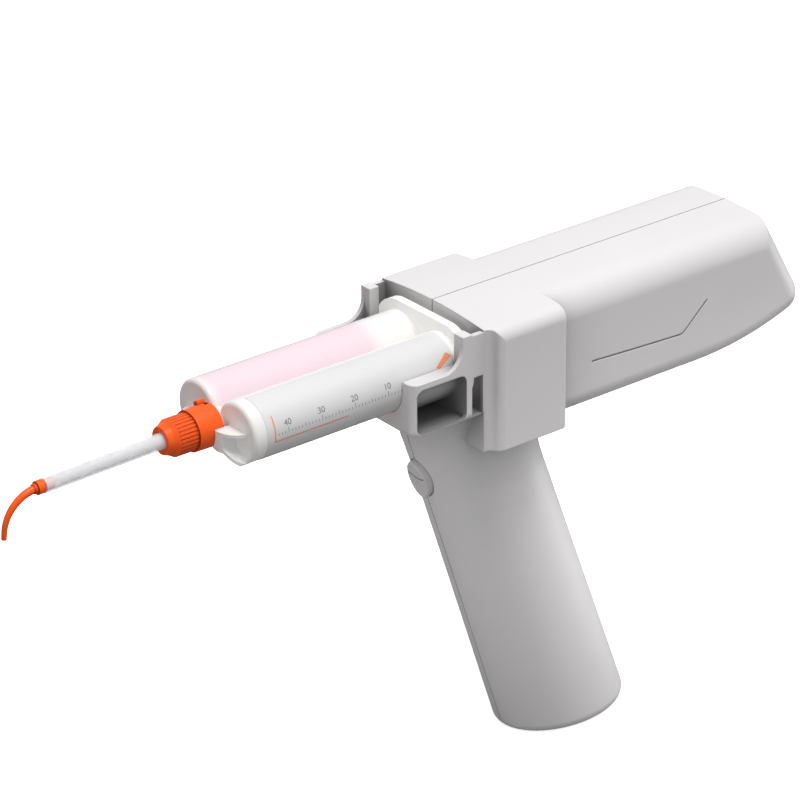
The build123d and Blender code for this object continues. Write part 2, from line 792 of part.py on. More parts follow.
# ==== mixer ====
cap_rear = barrel_front - cap_gap
cap_front = cap_rear - cap_length
skirt_front = cap_rear - cap_skirt_length
band_front = skirt_front - cap_band_length
foot_rear = neck_front - flat_gap / 2
foot_front = foot_rear - tube_foot_thickness
tube_front = cap_front - tube_length
cap_bore = outlet_radius + seat_gap
cap_hole = tube_root_radius + seat_gap
shoulder_y = foot_front - seat_gap
ring_middle = (cap_bore + cap_skirt_radius) / 2

with BuildPart() as mixer_cap:
    with BuildSketch(axis_plane):
        with BuildLine():
            Polyline(
                (cap_bore, cap_rear), (cap_skirt_radius, cap_rear), (cap_skirt_front_radius, skirt_front),
                (cap_band_radius, skirt_front), (cap_band_radius, band_front),
                (cap_cone_radius, band_front - cap_cone_start), (cap_nose_radius, cap_front),
                (cap_hole, cap_front), (cap_hole, band_front), (cap_shoulder_radius, band_front),
                (cap_shoulder_radius, shoulder_y), (cap_bore, shoulder_y), close=True,
            )
        make_face()
    revolve(axis=drive_axis)
    # bayonet wings, which lie against the claws' stop plates when the cap is locked
    with BuildSketch(Plane.XZ.offset(-cap_rear)):
        for side, width in ((1, cap_near_wing), (-1, cap_far_wing)):
            with Locations((side * cap_wing_radius / 2, axis_height + side * (wing_stop - width / 2))):
                Rectangle(cap_wing_radius, width)
        with Locations((0, axis_height)):
            Circle(cap_wing_radius, mode=Mode.INTERSECT)
            Circle(ring_middle, mode=cut)
    extrude(amount=cap_wing_length)
    # index lug, and the notch beside it
    with BuildSketch(Plane.XZ.offset(-cap_rear + cap_lug_setback)):
        with Locations((0, axis_height)):
            with PolarLocations((ring_middle + cap_lug_radius) / 2, 1, start_angle=cap_lug_angle):
                Rectangle(cap_lug_radius - ring_middle, cap_lug_width)
    extrude(amount=cap_lug_length)
    with BuildSketch(Plane.XZ.offset(-cap_rear + cap_lug_setback)):
        with Locations((0, axis_height)):
            with PolarLocations(cap_skirt_radius, 1, start_angle=cap_notch_angle):
                Rectangle(2 * cap_notch_depth, cap_notch_width)
    extrude(amount=cap_notch_width, mode=cut)
    # grip ribs, left by grooves round the band
    with BuildSketch(Plane.XZ.offset(-skirt_front)):
        with Locations((0, axis_height)):
            with PolarLocations(cap_band_radius + cap_rib_depth / 2, cap_rib_count):
                Circle(cap_rib_depth * 1.5)
    extrude(amount=cap_band_length, mode=cut)
mixer_cap.part.label = "mixer_cap"

# tube, blades and tip are built straight, then turned down about the cap's front
droop_axis = Axis((0, cap_front, axis_height), (1, 0, 0))

with BuildPart() as straight_tube:
    with BuildSketch(axis_plane):
        with BuildLine():
            Polyline(
                (tube_root_radius - tube_wall, foot_rear), (tube_foot_radius, foot_rear),
                (tube_foot_radius, foot_front), (tube_root_radius, foot_front),
                (tube_root_radius, cap_front), (tube_end_radius, tube_front),
                (tube_end_radius - tube_wall, tube_front), (tube_root_radius - tube_wall, cap_front),
                close=True,
            )
        make_face()
    revolve(axis=drive_axis)

with BuildPart() as mixer_tube:
    add(straight_tube.part.rotate(droop_axis, tube_droop))
mixer_tube.part.label = "mixer_tube"

# helical blades, each turned half a turn the other way and crossing the one before
element_start = foot_rear
element_end = tube_front + tip_plug_length + flat_gap
element_length = (element_start - element_end) / element_count
element_half_width = tube_end_radius - tube_wall - 0.1
with BuildPart() as straight_elements:
    for count in range(element_count):
        rear = element_start - count * element_length
        hand = 1 if count % 2 else -1
        for step in range(element_steps + 1):
            along = rear - step * (element_length + element_lap) / element_steps
            with BuildSketch(Plane.XZ.offset(-along)):
                with Locations((0, axis_height)):
                    Rectangle(2 * element_half_width, element_thickness,
                              rotation=90 * (count % 2) + hand * 180 * step / element_steps)
        loft(ruled=True)

with BuildPart() as mixer_elements:
    add(straight_elements.part.rotate(droop_axis, tube_droop))
mixer_elements.part.label = "mixer_elements"

collar_rear = tube_front - flat_gap / 2
collar_front = collar_rear - tip_collar_length
plug_rear = collar_rear + tip_plug_length
tip_steps = 5


def tip_form(root, end):
    """The curved, tapering spout, round in section."""
    turns = [tip_bend * count / tip_steps for count in range(tip_steps + 1)]
    with BuildPart() as form:
        for count, turn in enumerate(turns):
            angle = radians(turn)
            radius = root + (end - root) * count / (tip_steps + 1)
            y = collar_front - tip_bend_radius * sin(angle)
            z = axis_height - tip_bend_radius * (1 - cos(angle))
            heading = Vector(0, -cos(angle), -sin(angle))
            with BuildSketch(Plane(origin=(0, y, z), x_dir=(1, 0, 0), z_dir=heading)):
                Circle(radius)
        last = Vector(0, y, z) + heading * tip_end_length
        with BuildSketch(Plane(origin=last, x_dir=(1, 0, 0), z_dir=heading)):
            Circle(end)
        loft()
    return form.part


with BuildPart() as straight_tip:
    add(tip_form(tip_root_radius, tip_end_radius))
    tube_along(tip_collar_radius, collar_front, collar_rear)
    fillet(straight_tip.faces().filter_by(Axis.Y).sort_by(Axis.Y)[-1].edges(), tip_collar_edge)
    tube_along(tip_step_radius, collar_front - tip_step_length, collar_front)
    tube_along(tube_end_radius - tube_wall - running_gap, collar_rear - skim, plug_rear)
    tube_along(tip_root_radius - tip_wall, collar_front, plug_rear + skim, mode=cut)
    add(tip_form(tip_root_radius - tip_wall, tip_end_radius - tip_wall), mode=cut)

with BuildPart() as intraoral_tip:
    add(straight_tip.part.rotate(droop_axis, tube_droop))
intraoral_tip.part.label = "intraoral_tip"

# ==== rams and their yoke ====
disc_rear = disc_front + ram_disc_thickness


def ram_pieces(x):
    """One rod and its disc."""
    with BuildPart() as rod:
        tube_along(ram_radius, disc_rear - skim, yoke_rear, x)
        tube_along(ram_radius - skim, disc_rear - 2 * skim, disc_rear, x)
    with BuildPart() as disc:
        tube_along(ram_disc_radius, disc_front, disc_rear, x)
        fillet(disc.edges().filter_by(GeomType.CIRCLE), small_edge)
        for depth, radius in ((skim, ram_radius), (2 * skim, ram_radius - skim)):
            tube_along(radius + running_gap, disc_rear - depth - running_gap, disc_rear + skim, x,
                       mode=cut)
    return rod.part, disc.part


with BuildPart() as left_ram:
    add(ram_pieces(barrel_x)[0])
left_ram.part.label = "left_ram"

with BuildPart() as right_ram:
    add(ram_pieces(-barrel_x)[0])
right_ram.part.label = "right_ram"

with BuildPart() as left_disc:
    add(ram_pieces(barrel_x)[1])
left_disc.part.label = "left_disc"

with BuildPart() as right_disc:
    add(ram_pieces(-barrel_x)[1])
right_disc.part.label = "right_disc"

with BuildPart() as ram_yoke:
    with BuildSketch(Plane.XZ.offset(-yoke_front)):
        with Locations((0, axis_height)):
            RectangleRounded(2 * yoke_half_width, 2 * yoke_half_height, yoke_corner_radius)
            Circle(nut_radius + running_gap, mode=cut)
        with Locations(*[(side * barrel_x, axis_height) for side in side_points]):
            Circle(ram_radius + running_gap, mode=cut)
    extrude(amount=-yoke_thickness)
ram_yoke.part.label = "ram_yoke"

with BuildPart() as drive_nut:
    tube_along(nut_radius, yoke_front, yoke_rear)
    tube_along(nut_flange_radius, yoke_rear, yoke_rear + nut_flange_thickness)
    tube_along(screw_radius + running_gap, yoke_front - skim, yoke_rear + nut_flange_thickness + skim,
               mode=cut)
drive_nut.part.label = "drive_nut"

# ==== bearing plate, bushes and races ====
bush_radius = ram_radius + running_gap + bush_wall
with BuildPart() as bearing_plate:
    with BuildSketch(Plane.XZ.offset(-plate_front)):
        with Locations((0, axis_height)):
            RectangleRounded(2 * plate_half_width, 2 * plate_half_height, plate_corner_radius)
        with Locations(*[(side * barrel_x, axis_height) for side in side_points]):
            Circle(bush_radius + running_gap, mode=cut)
    extrude(amount=-bearing_plate_thickness)
    tube_along(race_radius + running_gap, plate_rear - race_width, plate_rear + skim, mode=cut)
bearing_plate.part.label = "bearing_plate"


def bush_form(x):
    """A flanged bush that guides one ram."""
    with BuildPart() as form:
        tube_along(bush_radius, plate_front, plate_rear, x)
        tube_along(bush_flange_radius, plate_front - bush_flange_thickness, plate_front, x)
        tube_along(ram_radius + running_gap, plate_front - overrun, plate_rear + skim, x, mode=cut)
    return form.part


with BuildPart() as left_bush:
    add(bush_form(barrel_x))
left_bush.part.label = "left_bush"

with BuildPart() as right_bush:
    add(bush_form(-barrel_x))
right_bush.part.label = "right_bush"


def race_form(start):
    """A plain ring that carries one end of the lead screw."""
    with BuildPart() as form:
        tube_along(race_radius, start, start + race_width)
        tube_along(screw_journal_radius + running_gap, start - skim, start + race_width + skim, mode=cut)
    return form.part


with BuildPart() as front_race:
    add(race_form(plate_rear - race_width))
front_race.part.label = "front_race"

with BuildPart() as rear_race:
    add(race_form(rear_plate_rear - race_width))
rear_race.part.label = "rear_race"

with BuildPart() as rear_plate:
    with BuildSketch(Plane.XZ.offset(-rear_plate_front)):
        with Locations((0, (axis_height + motor_z) / 2)):
            RectangleRounded(2 * rear_plate_half_width, gear_distance + 2 * plate_half_height,
                             plate_corner_radius)
        with Locations((0, axis_height)):
            Circle(race_radius + running_gap, mode=cut)
        with Locations((0, motor_z)):
            Circle(motor_pilot_radius + running_gap, mode=cut)
    extrude(amount=-rear_plate_thickness)
    with Locations(Plane(origin=(0, rear_plate_rear, motor_z), x_dir=(1, 0, 0), z_dir=(0, 1, 0))):
        with GridLocations(gearbox_screw_spacing, 1, 2, 1):
            CounterSinkHole(gearbox_screw_radius + running_gap, 2 * gearbox_screw_radius + running_gap,
                            counter_sink_angle=90)
rear_plate.part.label = "rear_plate"

# ==== lead screw, gears and motor ====
screw_shoulder = flat_gap / 2
shaft_end = gear_front + gear_width + shaft_reach
with BuildPart() as lead_screw:
    tube_along(screw_radius, plate_rear + screw_shoulder, rear_plate_rear - race_width - screw_shoulder)
    tube_along(screw_journal_radius, plate_rear - race_width + screw_shoulder, shaft_end)
lead_screw.part.label = "lead_screw"


def gear_form(teeth, z, first_angle, bore):
    """A spur gear in the drive's gear plane, with its first tooth at an angle from +X.

    The involute flanks are drawn as arcs through three points.
    """
    pitch_radius = gear_module * teeth / 2
    base = pitch_radius * cos(radians(pressure_angle))
    tip = pitch_radius + gear_module
    root = pitch_radius - 1.25 * gear_module
    pitch_slope = radians(pressure_angle)
    half_pitch = pi / (2 * teeth) - gear_backlash / (2 * pitch_radius)

    def rim_point(radius, turn):
        return radius * cos(turn), z + radius * sin(turn)

    def flank_point(radius, middle, side):
        slope = acos(min(base / radius, 1))
        half_angle = half_pitch + (tan(pitch_slope) - pitch_slope) - (tan(slope) - slope)
        return rim_point(radius, middle + side * half_angle)

    with BuildPart() as form:
        with BuildSketch(Plane.XZ.offset(-gear_front)):
            with BuildLine():
                half_base = half_pitch + tan(pitch_slope) - pitch_slope
                for count in range(teeth):
                    middle = radians(first_angle) + 2 * pi * count / teeth
                    low, high = [
                        [flank_point(radius, middle, side) for radius in (base, (base + tip) / 2, tip)]
                        for side in side_points
                    ]
                    Line(rim_point(root, middle - half_base), low[0])
                    ThreePointArc(low[0], low[1], low[2])
                    ThreePointArc(low[2], rim_point(tip, middle), high[2])
                    ThreePointArc(high[2], high[1], high[0])
                    Line(high[0], rim_point(root, middle + half_base))
                    ThreePointArc(
                        rim_point(root, middle + half_base), rim_point(root, middle + pi / teeth),
                        rim_point(root, middle + 2 * pi / teeth - half_base),
                    )
            make_face()
        extrude(amount=-gear_width)
        tube_along(bore, gear_front - skim, gear_front + gear_width + skim, 0, z, cut)
    return form.part


with BuildPart() as screw_gear:
    add(gear_form(screw_gear_teeth, axis_height, -90, screw_journal_radius + running_gap))
screw_gear.part.label = "screw_gear"

with BuildPart() as motor_pinion:
    add(gear_form(pinion_teeth, motor_z, 90 + 180 / pinion_teeth, motor_shaft_radius + running_gap))
motor_pinion.part.label = "motor_pinion"

with BuildPart() as motor_shaft:
    tube_along(motor_shaft_radius, rear_plate_front - motor_shaft_seat, shaft_end, 0, motor_z)
motor_shaft.part.label = "motor_shaft"

with BuildPart() as gearbox:
    tube_along(gearbox_radius, rear_plate_front - gearbox_length, rear_plate_front, 0, motor_z)
    tube_along(motor_pilot_radius, rear_plate_front, rear_plate_front + motor_pilot_height, 0, motor_z)
    tube_along(motor_shaft_radius + running_gap, rear_plate_front - motor_shaft_seat - running_gap,
               rear_plate_rear, 0, motor_z, cut)
    for side in side_points:
        tube_along(gearbox_screw_radius + running_gap, rear_plate_front - gearbox_screw_length,
                   rear_plate_front + skim, side * gearbox_screw_spacing / 2, motor_z, cut)
gearbox.part.label = "gearbox"

with BuildPart() as gearbox_screws:
    for side in side_points:
        with BuildSketch(Plane(origin=(side * gearbox_screw_spacing / 2, 0, motor_z))):
            with BuildLine():
                Polyline(
                    (0, rear_plate_rear), (2 * gearbox_screw_radius, rear_plate_rear),
                    (gearbox_screw_radius, rear_plate_rear - gearbox_screw_radius),
                    (gearbox_screw_radius, rear_plate_rear - gearbox_screw_length),
                    (0, rear_plate_rear - gearbox_screw_length), close=True,
                )
            make_face()
        revolve(axis=Axis((side * gearbox_screw_spacing / 2, 0, motor_z), (0, 1, 0)))
gearbox_screws.part.label = "gearbox_screws"

motor_rear = rear_plate_front - gearbox_length
with BuildPart() as motor:
    tube_along(motor_radius, motor_rear - motor_length, motor_rear, 0, motor_z)
    fillet(motor.faces().sort_by(Axis.Y)[0].edges(), small_edge)
    tube_along(motor_pilot_radius, motor_rear - motor_length - motor_pilot_height, motor_rear, 0,
               motor_z)
motor.part.label = "motor"

# ==== battery pack, raked with the grip ====

def cell_form(side, nub_up):
    """One cell with its raised pole."""
    low = 0 if nub_up else cell_nub_height
    nub = cell_length if nub_up else 0
    with BuildPart() as form:
        with BuildSketch(pack_plane.offset(low)):
            with Locations((0, side * cell_offset)):
                Circle(cell_radius)
        extrude(amount=cell_length)
        fillet(form.edges().filter_by(GeomType.CIRCLE), small_edge)
        with BuildSketch(pack_plane.offset(nub)):
            with Locations((0, side * cell_offset)):
                Circle(cell_nub_radius)
        extrude(amount=cell_nub_height)
    return form.part


with BuildPart() as front_cell:
    add(cell_form(-1, True))
front_cell.part.label = "front_cell"

with BuildPart() as rear_cell:
    add(cell_form(1, False))
rear_cell.part.label = "rear_cell"

holder_half_depth = 2 * cell_radius + cell_gap / 2 + skim
with BuildPart() as battery_holder:
    with BuildSketch(pack_plane.offset(-contact_thickness - holder_wall)):
        Rectangle(2 * holder_half_width, 2 * holder_half_depth)
    extrude(amount=pack_top + 2 * (contact_thickness + holder_wall))
    with BuildSketch(pack_plane.offset(-contact_thickness)):
        with Locations((holder_wall, 0)):
            Rectangle(2 * holder_half_width, 2 * (holder_half_depth + skim))
    extrude(amount=pack_top + 2 * contact_thickness, mode=cut)
battery_holder.part.label = "battery_holder"

with BuildPart() as series_contact:
    with BuildSketch(pack_plane.offset(-contact_thickness)):
        Rectangle(2 * contact_half_width, 2 * (cell_offset + contact_half_width))
    extrude(amount=contact_thickness)
series_contact.part.label = "series_contact"

with BuildPart() as front_contact:
    with BuildSketch(pack_plane.offset(pack_top)):
        with Locations((0, -cell_offset)):
            Rectangle(2 * contact_half_width, 2 * contact_half_width)
    extrude(amount=contact_thickness)
front_contact.part.label = "front_contact"

with BuildPart() as rear_contact:
    with BuildSketch(pack_plane.offset(pack_top)):
        with Locations((0, cell_offset)):
            Rectangle(2 * contact_half_width, 2 * contact_half_width)
    extrude(amount=contact_thickness)
rear_contact.part.label = "rear_contact"

with BuildPart() as control_board:
    block_between((-board_width / 2, wall_y + board_start, board_z),
                  (board_width / 2, wall_y + board_start + board_length, board_z + board_thickness))
control_board.part.label = "control_board"

with BuildPart() as charge_socket:
    for radius, start, end, mode in (
        (socket_radius, 0, socket_length, Mode.ADD),
        (socket_flange_radius, wall, wall + socket_flange_thickness, Mode.ADD),
        (socket_bore_radius, -1, socket_bore_depth, cut),
    ):
        with Locations((0, socket_y, (start + end) / 2)):
            Cylinder(radius, end - start, mode=mode)
charge_socket.part.label = "charge_socket"

# ==== rocker button, its frame and switches ====
pin_centre = button_plane.origin - button_plane.z_dir * rocker_pin_depth
with BuildPart() as rocker_button:
    with BuildSketch(button_plane.offset(-button_depth)):
        Ellipse(button_width / 2, button_height / 2)
    extrude(amount=button_depth + button_rise)
    fillet(rocker_button.faces().sort_by(Axis(button_plane.origin, button_plane.z_dir))[-1].edges(),
           button_edge_radius)
    with BuildSketch(button_plane.offset(button_rise - button_line_depth)):
        with BuildLine():
            Spline(*button_line)
        trace(line_width=button_line_width)
    extrude(amount=button_rise, mode=cut)
    round_bar(rocker_pin_radius + running_gap, -button_width, button_width,
              pin_centre.Y, pin_centre.Z, cut)
rocker_button.part.label = "rocker_button"

with BuildPart() as rocker_pin:
    round_bar(rocker_pin_radius, -button_frame_half_width, button_frame_half_width,
              pin_centre.Y, pin_centre.Z)
rocker_pin.part.label = "rocker_pin"

switch_top = button_depth + switch_gap
board_top = switch_top + switch_height
with BuildPart() as button_frame:
    with BuildSketch(button_plane.offset(-board_top)):
        RectangleRounded(2 * button_frame_half_width, 2 * button_frame_half_height, 2)
        Ellipse(button_width / 2 + button_slot_gap, button_height / 2 + button_slot_gap,
                mode=cut)
    extrude(amount=board_top - button_frame_top)
    round_bar(rocker_pin_radius + running_gap, -2 * button_width, 2 * button_width,
              pin_centre.Y, pin_centre.Z, cut)
button_frame.part.label = "button_frame"

with BuildPart() as switch_board:
    with BuildSketch(button_plane.offset(-board_top - board_thickness)):
        RectangleRounded(2 * button_frame_half_width, 2 * button_frame_half_height, 2)
    extrude(amount=board_thickness)
switch_board.part.label = "switch_board"


def switch_form(side):
    """A push switch with a round plunger."""
    with BuildPart() as form:
        with BuildSketch(button_plane.offset(-board_top)):
            with Locations((0, side * switch_reach)):
                Rectangle(switch_size, switch_size)
        extrude(amount=switch_body_height)
        with BuildSketch(button_plane.offset(-board_top)):
            with Locations((0, side * switch_reach)):
                Circle(switch_plunger_radius)
        extrude(amount=switch_height)
    return form.part


with BuildPart() as forward_switch:
    add(switch_form(1))
forward_switch.part.label = "forward_switch"

with BuildPart() as reverse_switch:
    add(switch_form(-1))
reverse_switch.part.label = "reverse_switch"

os.makedirs("parts", exist_ok=True)
pieces = (
    left_housing, right_housing, case_screws,
    cartridge_body, cartridge_label, base_piston, catalyst_piston, base_paste, catalyst_paste,
    mixer_cap, mixer_tube, mixer_elements, intraoral_tip,
    left_ram, right_ram, left_disc, right_disc, ram_yoke, drive_nut,
    bearing_plate, left_bush, right_bush, front_race, rear_race, rear_plate,
    lead_screw, screw_gear, motor_pinion, motor_shaft, gearbox, gearbox_screws, motor,
    front_cell, rear_cell, battery_holder, series_contact, front_contact, rear_contact,
    control_board, charge_socket,
    rocker_button, rocker_pin, button_frame, switch_board, forward_switch, reverse_switch,
)
for piece in pieces:
    export_step(piece.part, f"parts/{piece.part.label}.step")
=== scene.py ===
import bpy, bmesh, math
from mathutils import Matrix, Vector


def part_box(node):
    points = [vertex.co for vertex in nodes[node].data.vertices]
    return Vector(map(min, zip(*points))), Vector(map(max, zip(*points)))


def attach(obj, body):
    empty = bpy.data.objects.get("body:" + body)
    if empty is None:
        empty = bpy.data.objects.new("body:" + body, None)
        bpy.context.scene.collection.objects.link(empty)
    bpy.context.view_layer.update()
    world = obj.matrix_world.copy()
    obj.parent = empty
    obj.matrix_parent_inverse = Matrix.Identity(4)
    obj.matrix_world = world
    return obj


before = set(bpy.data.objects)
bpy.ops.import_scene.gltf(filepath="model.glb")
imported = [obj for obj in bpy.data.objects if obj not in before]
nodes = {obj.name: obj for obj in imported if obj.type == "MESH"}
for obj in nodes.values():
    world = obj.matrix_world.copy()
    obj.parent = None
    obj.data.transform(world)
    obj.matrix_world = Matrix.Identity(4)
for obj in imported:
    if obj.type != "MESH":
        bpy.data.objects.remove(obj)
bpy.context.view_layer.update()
scene = bpy.context.scene


# small helpers for node materials

def newMaterial(name, color, roughness):
    mat = bpy.data.materials.new(name)
    mat.use_nodes = True
    shader = mat.node_tree.nodes["Principled BSDF"]
    shader.inputs["Base Color"].default_value = (*color, 1)
    shader.inputs["Roughness"].default_value = roughness
    mat.diffuse_color = (*color, 1)
    return mat, mat.node_tree, shader


def addNode(tree, kind, **values):
    node = tree.nodes.new(kind)
    for key, value in values.items():
        if key in node.inputs:
            node.inputs[key].default_value = value
        else:
            setattr(node, key, value)
    return node


def objectCoords(tree):
    return addNode(tree, "ShaderNodeTexCoord").outputs["Object"]


def addNoise(tree, scale, detail=3.0, source=None):
    noise = addNode(tree, "ShaderNodeTexNoise", Scale=scale, Detail=detail)
    tree.links.new(source or objectCoords(tree), noise.inputs["Vector"])
    return noise.outputs["Fac"]


def mapValue(tree, value, low, high, fromLow=0.3, fromHigh=0.7):
    ramp = addNode(tree, "ShaderNodeMapRange")
    ramp.inputs["From Min"].default_value = fromLow
    ramp.inputs["From Max"].default_value = fromHigh
    ramp.inputs["To Min"].default_value = low
    ramp.inputs["To Max"].default_value = high
    tree.links.new(value, ramp.inputs["Value"])
    return ramp.outputs["Result"]


def mixColors(tree, factor, first, second):
    mix = addNode(tree, "ShaderNodeMix", data_type="RGBA")
    mix.inputs["A"].default_value = (*first, 1)
    mix.inputs["B"].default_value = (*second, 1)
    tree.links.new(factor, mix.inputs["Factor"])
    return mix.outputs["Result"]


def addBump(tree, shader, height, distance, strength=1.0, under=None):
    bump = addNode(tree, "ShaderNodeBump", Distance=distance, Strength=strength)
    tree.links.new(height, bump.inputs["Height"])
    if under:
        tree.links.new(under, bump.inputs["Normal"])
    tree.links.new(bump.outputs["Normal"], shader.inputs["Normal"])


def addMath(tree, operation, first, second=0):
    node = addNode(tree, "ShaderNodeMath", operation=operation)
    for socket, value in zip(node.inputs, (first, second)):
        if isinstance(value, (int, float)):
            socket.default_value = value
        else:
            tree.links.new(value, socket)
    return node.outputs[0]


def scaleColor(tree, color, amount):
    scaled = addNode(tree, "ShaderNodeVectorMath", operation="SCALE")
    tree.links.new(color, scaled.inputs[0])
    tree.links.new(amount, scaled.inputs["Scale"])
    return scaled.outputs["Vector"]


# painted shade: the colour is darkened where the piece shuts in its own surface, standing in for shade in
# hollows and recesses
def shadeHollows(tree, color, reach, darkest, contrast=1.6):
    paintedHollowShade = addNode(tree, "ShaderNodeAmbientOcclusion", samples=8, only_local=True, Distance=reach)
    openness = addMath(tree, "POWER", paintedHollowShade.outputs["AO"], contrast)
    return scaleColor(tree, color, addMath(tree, "MAXIMUM", openness, darkest))


# painted highlight: the colour is mixed toward white along edges, where the softened normal turns away from
# the true normal
def lightenEdges(tree, color, softNormal, paintedEdgeHighlight, sharpest=0.78, flat=0.99):
    across = addNode(tree, "ShaderNodeVectorMath", operation="DOT_PRODUCT")
    tree.links.new(softNormal, across.inputs[0])
    tree.links.new(addNode(tree, "ShaderNodeNewGeometry").outputs["Normal"], across.inputs[1])
    amount = mapValue(tree, across.outputs["Value"], paintedEdgeHighlight, 0, sharpest, flat)
    edge = mixColors(tree, amount, (1, 1, 1), (1, 1, 1))
    tree.links.new(color, edge.node.inputs["A"])
    return edge


def splitCoords(tree):
    place = addNode(tree, "ShaderNodeSeparateXYZ")
    tree.links.new(objectCoords(tree), place.inputs["Vector"])
    return place.outputs


# painted shade: the colour is darkened in a thin band either side of X = 0, standing in for shade in the
# parting line between the halves
def darkenSeam(tree, color, width, darkest=0.4, fade=1.3):
    offset = addMath(tree, "ABSOLUTE", splitCoords(tree)["X"])
    return scaleColor(tree, color, mapValue(tree, offset, darkest, 1.0, width, width * fade))


def plastic(name, color, roughness, grain, grainDepth,
            spread=0.03, edge=0.0, paintedEdgeHighlight=0.0, paintedHollowShade=None, paintedSeamShadeWidth=0.0):
    mat, tree, shader = newMaterial(name, color, roughness)
    broad = addNoise(tree, 22.0, 2.0)  # slow drift of the tone
    darker = tuple(c * (1 - spread) for c in color)
    tone = mixColors(tree, mapValue(tree, broad, 0, 1), color, darker)
    soft = addNode(tree, "ShaderNodeBevel", samples=6, Radius=edge).outputs["Normal"] if edge else None
    # painted highlight on the edges
    if paintedEdgeHighlight:
        tone = lightenEdges(tree, tone, soft, paintedEdgeHighlight)
    # painted shade in the hollows
    if paintedHollowShade:
        tone = shadeHollows(tree, tone, *paintedHollowShade)
    # painted shade along the parting line
    if paintedSeamShadeWidth:
        tone = darkenSeam(tree, tone, paintedSeamShadeWidth)
    tree.links.new(tone, shader.inputs["Base Color"])
    fine = addNoise(tree, grain, 2.0)  # spark-eroded mould texture
    tree.links.new(mapValue(tree, fine, roughness - 0.04, roughness + 0.05), shader.inputs["Roughness"])
    addBump(tree, shader, fine, grainDepth, under=soft)
    return mat


def metal(name, color, roughness, stretch=(1, 1, 1), scale=400.0):
    mat, tree, shader = newMaterial(name, color, roughness)
    shader.inputs["Metallic"].default_value = 1.0
    mapping = addNode(tree, "ShaderNodeMapping")
    mapping.inputs["Scale"].default_value = stretch
    tree.links.new(objectCoords(tree), mapping.inputs["Vector"])
    lines = addNoise(tree, scale, 4.0, mapping.outputs["Vector"])
    tree.links.new(mapValue(tree, lines, roughness - 0.08, roughness + 0.1), shader.inputs["Roughness"])
    tree.links.new(mixColors(tree, lines, color, tuple(c * 0.86 for c in color)), shader.inputs["Base Color"])
    addBump(tree, shader, lines, 0.00002, 0.4)
    return mat


def milkyPlastic(name, color, roughness, glow, alpha=1.0):
    mat, tree, shader = newMaterial(name, color, roughness)
    cloud = addNoise(tree, 60.0, 2.0)  # flow marks of the moulding
    tone = mixColors(tree, cloud, color, tuple(c * 0.97 for c in color))
    shader.inputs["Emission Strength"].default_value = glow  # stands in for light passing through the wall
    shader.inputs["Alpha"].default_value = alpha
    tree.links.new(tone, shader.inputs["Base Color"])
    tree.links.new(tone, shader.inputs["Emission Color"])
    tree.links.new(mapValue(tree, cloud, roughness - 0.01, roughness + 0.01), shader.inputs["Roughness"])
    return mat, tree, shader, tone


def tintByPaste(tree, shader, tone, tint, pasteBox, fade, reach):
    place = splitCoords(tree)
    (_, front, _), (side, rear, _) = pasteBox
    pastFront = mapValue(tree, place["Y"], 0, 1, front - fade, front + fade)
    beforeRear = mapValue(tree, place["Y"], 1, 0, rear - fade, rear + fade)
    onOwnSide = mapValue(tree, place["X"], 1, 0, side + reach[0], side + reach[1])
    amount = addMath(tree, "MINIMUM", addMath(tree, "MINIMUM", pastFront, beforeRear), onOwnSide)
    tinted = mixColors(tree, amount, tint, tint)
    tree.links.new(tone, tinted.node.inputs["A"])
    tree.links.new(tinted, shader.inputs["Base Color"])
    tree.links.new(tinted, shader.inputs["Emission Color"])


# painted light: the emission strength rises toward the flange, so that the flange looks lit through more
# strongly than the barrel wall
def glowAtFlange(tree, shader, front, fade, wallGlow, flangeGlow):
    amount = mapValue(tree, splitCoords(tree)["Y"], wallGlow, flangeGlow, front - fade, front)
    tree.links.new(amount, shader.inputs["Emission Strength"])


def dress(material, *names):
    for name in names:
        slots = nodes[name].data.materials
        slots.clear()
        slots.append(material)


# finishes of the pieces

finishes = {
    # housing, button and orange carry painted shade in their hollows; housing and button carry painted
    # highlights on their edges; the housing carries painted shade along its parting line
    "housing": {"color": (0.70, 0.685, 0.69), "roughness": 0.46, "grain": 3200.0, "grainDepth": 0.000012,
                "edge": 0.0007, "paintedEdgeHighlight": 0.6, "paintedHollowShade": (0.028, 0.3), "paintedSeamShadeWidth": 0.0002},
    "button": {"color": (0.66, 0.645, 0.65), "roughness": 0.42, "grain": 2600.0, "grainDepth": 0.00001,
               "edge": 0.0004, "paintedEdgeHighlight": 0.3, "paintedHollowShade": (0.0015, 0.25)},
    "orange": {"color": (1.0, 0.115, 0.012), "roughness": 0.34, "grain": 900.0, "grainDepth": 0.000008,
               "paintedHollowShade": (0.0016, 0.45)},
    "seal": {"color": (0.82, 0.82, 0.79), "roughness": 0.45, "grain": 900.0, "grainDepth": 0.00001},
    "acetal": {"color": (0.05, 0.05, 0.055), "roughness": 0.4, "grain": 1500.0, "grainDepth": 0.00001},
    "black": {"color": (0.02, 0.02, 0.021), "roughness": 0.45, "grain": 1800.0, "grainDepth": 0.00001},
    "board": {"color": (0.02, 0.16, 0.06), "roughness": 0.35, "grain": 1200.0, "grainDepth": 0.00001},
    "cell": {"color": (0.04, 0.12, 0.34), "roughness": 0.3, "grain": 600.0, "grainDepth": 0.00001},
    "basePaste": {"color": (0.90, 0.89, 0.86), "roughness": 0.5, "grain": 300.0, "grainDepth": 0.00001},
    "pinkPaste": {"color": (0.88, 0.60, 0.66), "roughness": 0.5, "grain": 300.0, "grainDepth": 0.00001},
    "label": {"color": (0.69, 0.685, 0.69), "roughness": 0.35, "grain": 1400.0, "grainDepth": 0.000006},
}
mats = {name: plastic(name, **values) for name, values in finishes.items()}
mats["orange"].node_tree.nodes["Principled BSDF"].inputs["Specular IOR Level"].default_value = 0.25

